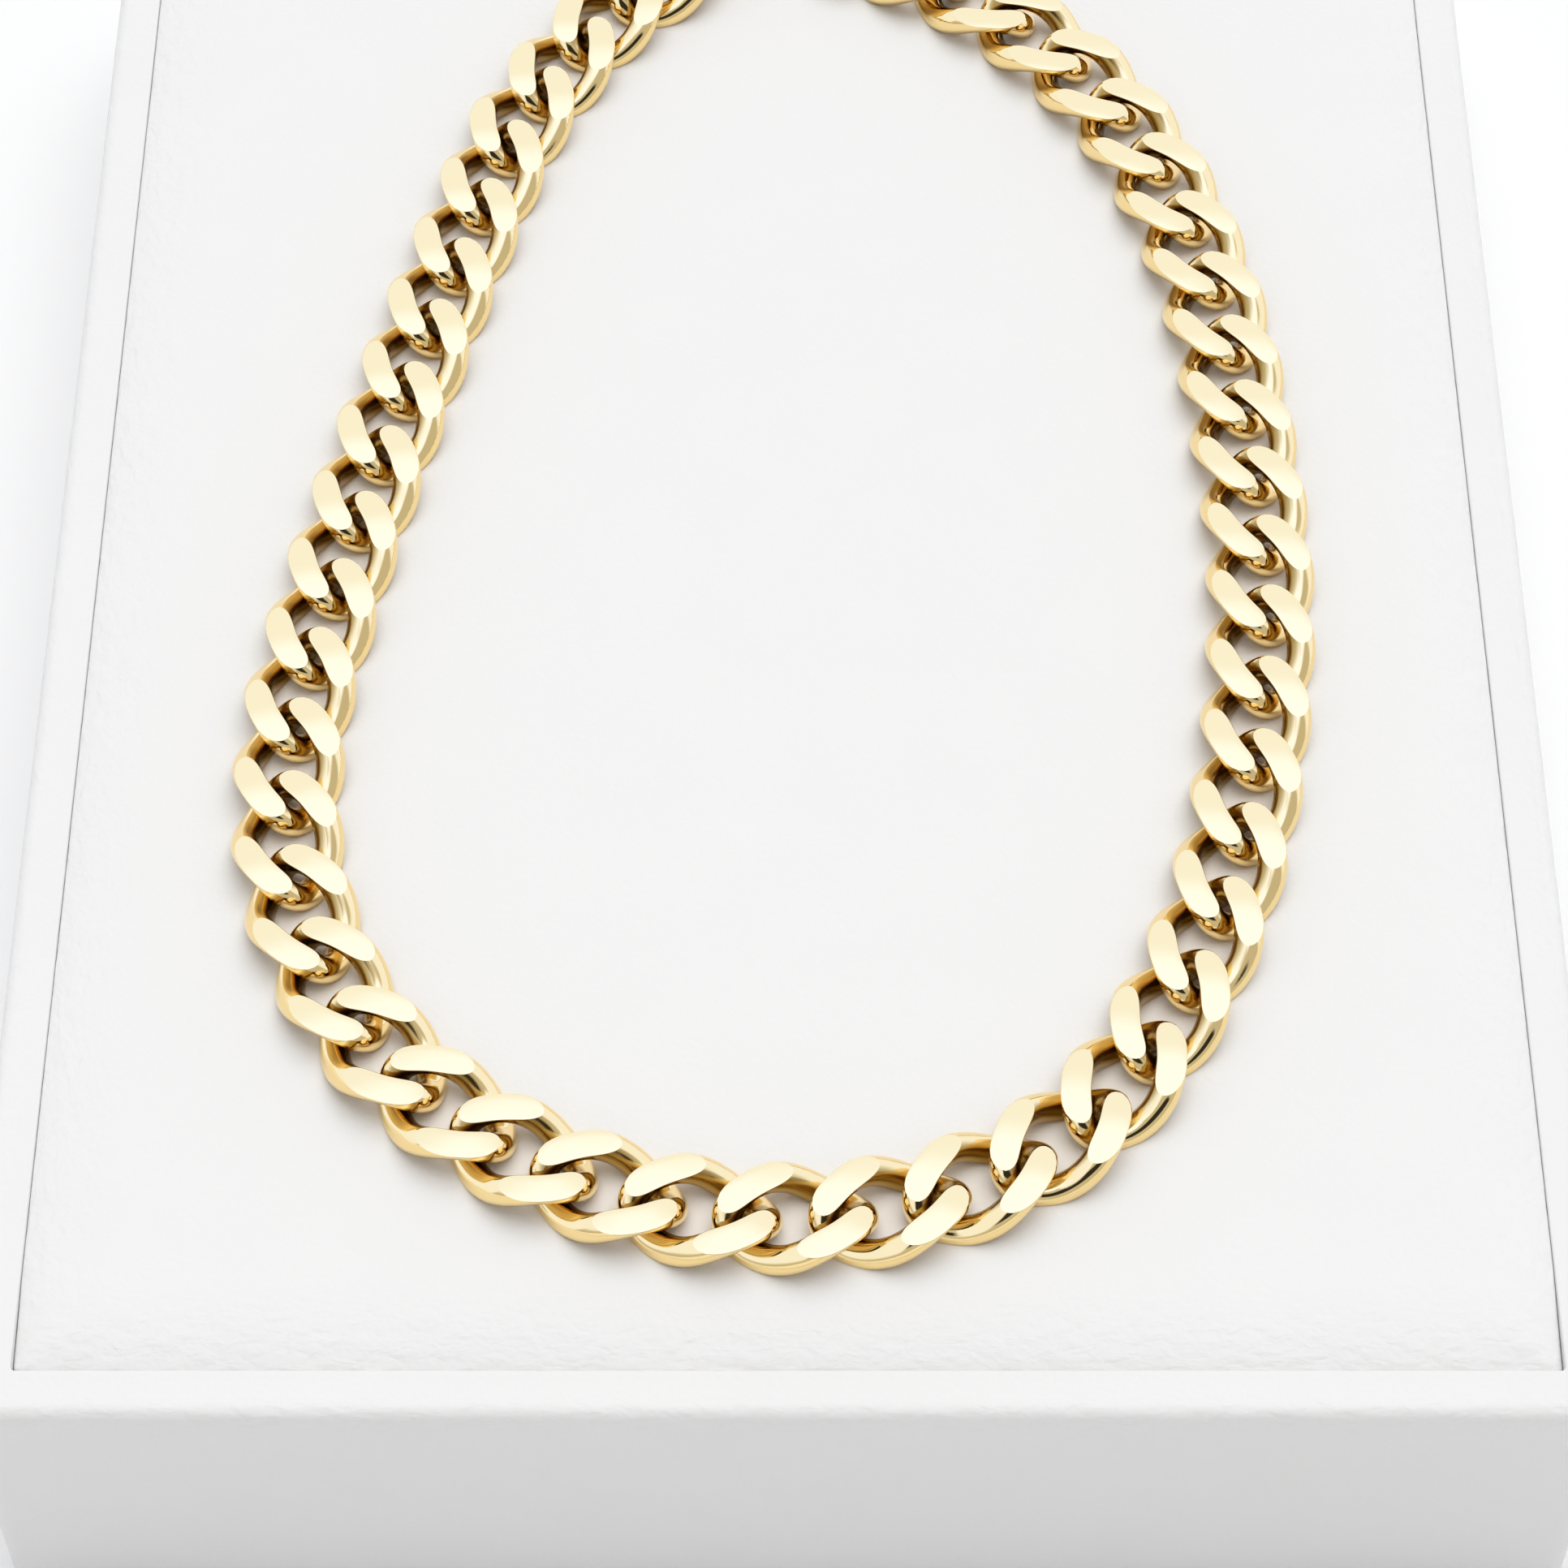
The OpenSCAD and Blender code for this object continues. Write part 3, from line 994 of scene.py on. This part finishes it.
@dataclass
class BoxPad:
    """Leatherette stretched over a foam block: a level top whose four edges roll down into the box."""

    laying: Laying
    finish: bpy.types.Material
    roll: float = 10.5
    drop: float = 2.4
    side_lift: float = 0.42
    floor: float = 3.1
    foot_round: float = 0.6
    side_depth: float = 14.0
    side_share: float = 0.3
    corner: float = 1.0
    corner_growth: float = 0.25
    corner_limits: Span = (0.3, 3.0)
    side_steps: tuple[int, int] = (166, 228)
    corner_steps: int = 8
    level_ends: Span = (3.5, 0.5)
    level_rings: int = 46
    roll_rings: int = 22
    side_rings: int = 6
    foot_rings: int = 4
    lip_depths: tuple[float, ...] = (0.15, 0.35, 0.7, 1.2, 2.0, 4.0, 8.0)
    swell: float = 0.35
    slow_waves: tuple[float, ...] = (61, 37, 23, 15, 9.5)
    slow_seed: int = 7
    slow_depth: float = 0.10
    fine_waves: tuple[float, ...] = (6.1, 4.3, 3.1, 2.3)
    fine_seed: int = 11
    fine_depth: float = 0.035
    wave_growth: float = 1.5
    pull_reach: float = 14.0
    line_points: int = 400
    # span of the painted warm light, in shares of the chain's width from the chain's middle line
    painted_gold_light_full: float = 0.30
    painted_gold_light_end: float = 0.58

    def painted_gold_light(self, points: np.ndarray) -> np.ndarray:
        """Share of painted warm light where the chain lies: a smooth step down over the distance |r - R(a)| from its
        middle line.

        Here r and a are a corner's distance and angle from the loop's middle, and R(a) is the middle line's distance
        at that angle. The step runs from painted_gold_light_full to painted_gold_light_end of the chain's width.

        Args:
            points: Corners in millimetres.

        Returns:
            One share for each corner.
        """
        route, chain_w = self.laying.route, self.laying.link.chain_w
        line = route.place(np.linspace(0, route.necklace_len, self.line_points, endpoint=False), chain_w)
        middle = (line.min(0) + line.max(0)) / 2
        line -= middle
        flat = points[..., :2].reshape(-1, 2) - middle
        radius = np.interp(np.arctan2(flat[:, 1], flat[:, 0]), np.arctan2(line[:, 1], line[:, 0]),
                           np.hypot(line[:, 0], line[:, 1]), period=2 * np.pi)
        gap = np.abs(np.hypot(flat[:, 0], flat[:, 1]) - radius) / chain_w
        return smooth_step((self.painted_gold_light_end - gap) / (self.painted_gold_light_end - self.painted_gold_light_full))

    def build(self) -> bpy.types.Object:
        """Makes the pad as rings from its middle out over the rolled edge and down its sides.

        Over a distance d from the edge the top drops by drop (1 - sqrt(1 - (1 - d / roll)^2)), and fine waves
        that grow towards the edge stand for the pulled leatherette. At the left and right edges the top drops less,
        by a share of side_lift.

        Returns:
            The pad.
        """
        half = self.laying.route.pad_size(self.laying.link.chain_w) / 2 + self.swell
        top = self.laying.box_h + self.laying.pad_proud
        middle, edge = self.level_ends
        level = np.linspace(half.min() - middle, self.roll + edge, self.level_rings)
        turn = np.linspace(0, np.pi / 2, self.roll_rings)[1:]
        foot_turn = np.linspace(0, np.pi / 2, self.foot_rings)
        foot = self.foot_round
        side_top = top - self.drop - self.side_depth
        table = np.array(
            [(inset, top, 0.0) for inset in level]
            + [(self.roll * (1 - np.sin(a)), top - self.drop * (1 - np.cos(a)), 1.0) for a in turn]
            + [(0.0, top - self.drop - depth, 1.0) for depth in self.lip_depths]
            + [(0.0, z, self.side_share) for z in np.linspace(side_top, self.floor + foot, self.side_rings)]
            + [(foot * (1 - np.cos(a)), self.floor + foot * (1 - np.sin(a)), 0.0) for a in foot_turn])
        radius = np.clip(self.corner + self.corner_growth * table[:, 0], *self.corner_limits)
        rings = round_rectangle(half - table[:, :1], radius, self.side_steps, self.corner_steps)
        points = raised(rings, table[:, 1])
        rows, columns = points.shape[:2]
        pulls = edge_pulls(points, half, self.pull_reach)
        rolled = table[:, 2:3] == 1
        sunk = np.minimum(top - points[..., 2], self.drop) * rolled
        points[..., 2] += self.side_lift * pulls["side_pull"].reshape(rows, columns) * sunk
        lap = 4 * half.sum()
        along = np.linspace(0, lap, columns, endpoint=False)
        slow = waves(along, self.slow_seed, self.slow_waves, lap)
        fine = waves(along, self.fine_seed, self.fine_waves, lap)
        weight = np.clip((self.roll - table[:, 0]) / self.roll, 0, 1) ** self.wave_growth * table[:, 2]
        points[..., 2] -= weight[:, None] * (self.slow_depth * (slow + 1) + self.fine_depth * (fine + 1))[None]
        quads, caps = closed_stack(rows, columns, flip=True)
        piece = new_piece("box_pad_cover", points.reshape(-1, 3), quads, caps)
        # painted warm light under the chain
        mark(piece, pulls | {"painted_gold_light": self.painted_gold_light(points)})
        dress(piece, self.finish, "box_pad")
        return piece


@dataclass
class DisplayBox:
    """Open box wrapped in leatherette: floor, walls, and a rim that rounds over outwards."""

    laying: Laying
    finish: bpy.types.Material
    rim: float = 5.5
    pad_gap: float = 0.4
    floor: float = 3.0
    rim_round: float = 1.6
    inner_round: float = 0.2
    foot_round: float = 0.5
    corner: float = 2.5
    corner_growth: float = 0.36
    least_corner: float = 0.3
    side_steps: tuple[int, int] = (180, 240)
    corner_steps: int = 10
    inmost: float = 40.0
    inner_heights: tuple[float, ...] = (12.0, 24.0, 34.0)
    outer_heights: tuple[float, ...] = (24.0, 12.0, 4.0, 1.5)
    round_rings: int = 5
    rim_rings: int = 12
    slow_waves: tuple[float, ...] = (47, 29, 17, 11)
    slow_seed: int = 3
    slow_depth: float = 0.12
    fine_waves: tuple[float, ...] = (5.3, 3.7, 2.6)
    fine_seed: int = 5
    fine_depth: float = 0.10
    pull_reach: float = 4.5

    def build(self) -> bpy.types.Object:
        """Makes the box as rings along its profile: floor, inner wall, rim, outer wall and underside.

        Each row of the profile is a distance in from the outer wall, a height, and a share of the wrinkles. The rim
        rounds over outwards by rim_round (1 - sin a) and down by rim_round (1 - cos a). Slow and fine waves along the
        box's edge then draw its points inwards by up to slow_depth and fine_depth.

        Returns:
            The box.
        """
        half = self.laying.route.pad_size(self.laying.link.chain_w) / 2 + self.pad_gap + self.rim
        h, rim, rr, ir, fr = self.laying.box_h, self.rim, self.rim_round, self.inner_round, self.foot_round
        quarter = np.linspace(0, np.pi / 2, self.round_rings)
        rim_turn = np.linspace(0, np.pi / 2, self.rim_rings)
        rows = [(inset, self.floor, 0.0) for inset in (self.inmost, rim + 2, rim)]
        rows += [(rim, z, 0.0) for z in (self.floor + 0.3, *self.inner_heights, h - 3, h - 1)]
        rows += [(rim - ir * (1 - math.cos(a)), h - ir * (1 - math.sin(a)), 0.2) for a in quarter]
        rows += [(d, h, 0.3 + 0.7 * (rim - d) / rim) for d in np.linspace(rim - ir, rr, self.rim_rings)[1:-1]]
        rows += [(rr * (1 - math.sin(a)), h - rr * (1 - math.cos(a)), 1.0) for a in rim_turn]
        rows += [(0.0, z, w) for z, w in ((h - rr - 0.4, 1.0), (h - rr - 1.0, 0.8), (h - rr - 2, 0.5), (h - 6, 0.2))]
        rows += [(0.0, z, 0.0) for z in (h - 12, *self.outer_heights)]
        rows += [(fr * (1 - math.cos(a)), fr * (1 - math.sin(a)), 0.0) for a in quarter]
        rows += [(inset, 0.0, 0.0) for inset in (4.0, self.inmost)]
        table = np.array(rows)
        radius = np.clip(self.corner - self.corner_growth * table[:, 0], self.least_corner, None)
        rings = round_rectangle(half - table[:, :1], radius, self.side_steps, self.corner_steps)
        points = raised(rings, table[:, 1])
        count, columns = points.shape[:2]
        lap = 4 * half.sum()
        along = np.linspace(0, lap, columns, endpoint=False)
        slow = 0.5 + 0.5 * waves(along, self.slow_seed, self.slow_waves, lap)
        fine = 0.5 + 0.5 * waves(along, self.fine_seed, self.fine_waves, lap)
        sink = table[:, 2:3] * (self.slow_depth * slow + self.fine_depth * fine)[None]
        away = unit(np.concatenate([points[..., :2] / half, np.ones((count, columns, 1))], -1))
        points -= away * sink[..., None]
        quads, caps = closed_stack(count, columns, flip=True)
        piece = new_piece("display_box_shell", points.reshape(-1, 3), quads, caps)
        shares = edge_pulls(points, half, self.pull_reach)
        mark(piece, {name: share * np.repeat(table[:, 2], columns) for name, share in shares.items()})
        dress(piece, self.finish, "display_box")
        return piece


@dataclass(frozen=True)
class Studio:
    """Camera, floor and soft light."""

    laying: Laying
    elevation: float = 56.0
    distance: float = 505.67
    focal_px: float = 5396.07
    sensor: float = 36.0
    clip: Span = (0.01, 20.0)
    front_light: float = 0.55
    low_light: float = 0.6
    key_light: float = 2.22
    key_aim: tuple[float, float, float] = (0.10, 0.27, 0.958)
    panel_tint: Tint = (1.0, 1.14, 1.58)
    high_panel_tint: Tint = (1.0, 1.20, 1.95)
    panel_low: float = 0.965
    panel_high: float = 1.07
    room_light: float = 0.57
    dark_light: float = 0.03
    front_edge: Span = (-0.7, -0.1)
    key_edge: Span = (0.82, 0.95)
    left_edge: Span = (-0.36, -0.2)
    left_foot: Span = (0.1, 0.32)
    behind_edge: Span = (-0.3, -0.12)
    above_edge: Span = (0.82, 0.9)
    panel_rise: Span = (0.70, 0.94)
    card_edge: Span = (-0.7, -0.6)
    card_foot: Span = (0.34, 0.42)
    card_top: Span = (0.68, 0.74)
    floor_reach: float = 3000.0
    floor_color: Tint = (0.93, 0.93, 0.93)
    floor_roughness: float = 0.8

    def camera(self) -> bpy.types.Object:
        """Camera in front of the box, looking down on the middle of what the picture shows.

        Returns:
            The camera.
        """
        data = bpy.data.cameras.new("camera")
        data.sensor_fit = "HORIZONTAL"
        data.sensor_width = self.sensor
        data.lens = self.focal_px / PHOTO_SIDE_PX * self.sensor
        data.clip_start, data.clip_end = self.clip
        cam = bpy.data.objects.new("camera", data)
        x, y = self.laying.route.shift(self.laying.link.chain_w)
        z = self.laying.height + self.laying.link.chain_t / 2
        lift = math.radians(self.elevation)
        cam.location = (x * MM, (y - self.distance * math.cos(lift)) * MM, (z + self.distance * math.sin(lift)) * MM)
        cam.rotation_euler = (math.pi / 2 - lift, 0, 0)
        bpy.context.scene.collection.objects.link(cam)
        bpy.context.scene.camera = cam
        return cam

    def floor(self) -> bpy.types.Object:
        """A wide pale floor.

        Returns:
            The floor.
        """
        reach = self.floor_reach
        square = np.array([[-reach, -reach, 0], [reach, -reach, 0], [reach, reach, 0], [-reach, reach, 0]])
        piece = new_piece("floor", square, np.array([[0, 1, 2, 3]]))
        mat, _, shader = new_material("pale_floor")
        shader.inputs["Base Color"].default_value = (*self.floor_color, 1)
        shader.inputs["Roughness"].default_value = self.floor_roughness
        piece.data.materials.append(mat)
        return piece

    def sky(self) -> None:
        """Soft light all round, and for polished metal the studio's panels as it mirrors them.

        Matt surfaces get low_light all round, or front_light in front, and key_light from a wide softbox overhead.
        Polished metal mirrors cool bright panels overhead, behind and on the left, a dim room in front on the right,
        and a dark card low in front. Each edge is a smooth step between two values of the direction's x, y or z, and
        the softbox's edge one of the direction's share along key_aim.
        """
        world = bpy.data.worlds.new("studio")
        bpy.context.scene.world = world
        world.use_nodes = True
        tree = world.node_tree
        place = tree.nodes.new("ShaderNodeTexCoord")
        split = tree.nodes.new("ShaderNodeSeparateXYZ")
        tree.links.new(place.outputs["Generated"], split.inputs[0])
        x, y, z = (split.outputs[axis] for axis in "XYZ")
        around = step_node(tree, y, self.front_edge, (self.front_light, self.low_light))
        aim = tree.nodes.new("ShaderNodeVectorMath")
        aim.operation = "DOT_PRODUCT"
        aim.inputs[1].default_value = self.key_aim
        tree.links.new(place.outputs["Generated"], aim.inputs[0])
        key = step_node(tree, aim.outputs["Value"], self.key_edge, (0.0, self.key_light))
        matt = math_node(tree, "ADD", around, key)
        left = math_node(tree, "MULTIPLY", step_node(tree, x, self.left_edge, (1.0, 0.0)),
                         step_node(tree, z, self.left_foot, (0.0, 1.0)))
        behind = step_node(tree, y, self.behind_edge, (0.0, 1.0))
        above = step_node(tree, z, self.above_edge, (0.0, 1.0))
        panel = math_node(tree, "MAXIMUM", left, math_node(tree, "MAXIMUM", behind, above))
        climb = step_node(tree, z, self.panel_rise, (0.0, 1.0))
        swell = step_node(tree, climb, (0.0, 1.0), (self.panel_low, self.panel_high))
        toward = math_node(tree, "MULTIPLY", step_node(tree, y, self.card_edge, (1.0, 0.0)),
                           step_node(tree, z, self.card_foot, (0.0, 1.0)))
        dark = math_node(tree, "MULTIPLY", toward, step_node(tree, z, self.card_top, (1.0, 0.0)))
        room = step_node(tree, dark, (0.0, 1.0), (self.room_light, self.dark_light))
        dim = math_node(tree, "MULTIPLY", room, math_node(tree, "SUBTRACT", 1.0, panel))
        mirrored = math_node(tree, "ADD", dim, math_node(tree, "MULTIPLY", swell, panel))
        path = tree.nodes.new("ShaderNodeLightPath")
        glossy = path.outputs["Is Glossy Ray"]
        light = math_node(tree, "ADD", math_node(tree, "MULTIPLY", mirrored, glossy),
                          math_node(tree, "MULTIPLY", matt, math_node(tree, "SUBTRACT", 1.0, glossy)))
        cool = math_node(tree, "MULTIPLY", panel, glossy)
        background = tree.nodes["Background"]
        tree.links.new(light, background.inputs["Strength"])
        panel_tint = tint_mix(tree, climb, self.panel_tint, self.high_panel_tint)
        tree.links.new(tint_mix(tree, cool, (1.0, 1.0, 1.0), panel_tint), background.inputs["Color"])

    def build(self) -> None:
        """Sets up the floor, the light and the camera."""
        self.camera()
        self.floor()
        self.sky()
        scene = bpy.context.scene
        scene.view_settings.view_transform = "Standard"
        scene.view_settings.look = "None"


def main() -> None:
    logging.basicConfig(level=logging.INFO, format="%(name)s: %(message)s")
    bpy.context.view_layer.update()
    laying = Laying()
    studio = Studio(laying)
    studio.build()
    gold = PolishedGold().material()
    pieces = [Chain(laying, gold).build(side) for side in Side]
    pieces.append(Clasp(laying, gold).build())
    pieces.append(BoxPad(laying, Leatherette("pad_leatherette").material()).build())
    pieces.append(DisplayBox(laying, Leatherette("box_leatherette").material()).build())
    for piece in pieces:
        log.info("%s: %d faces", piece.name, len(piece.data.polygons))


if __name__ == "__main__":
    main()
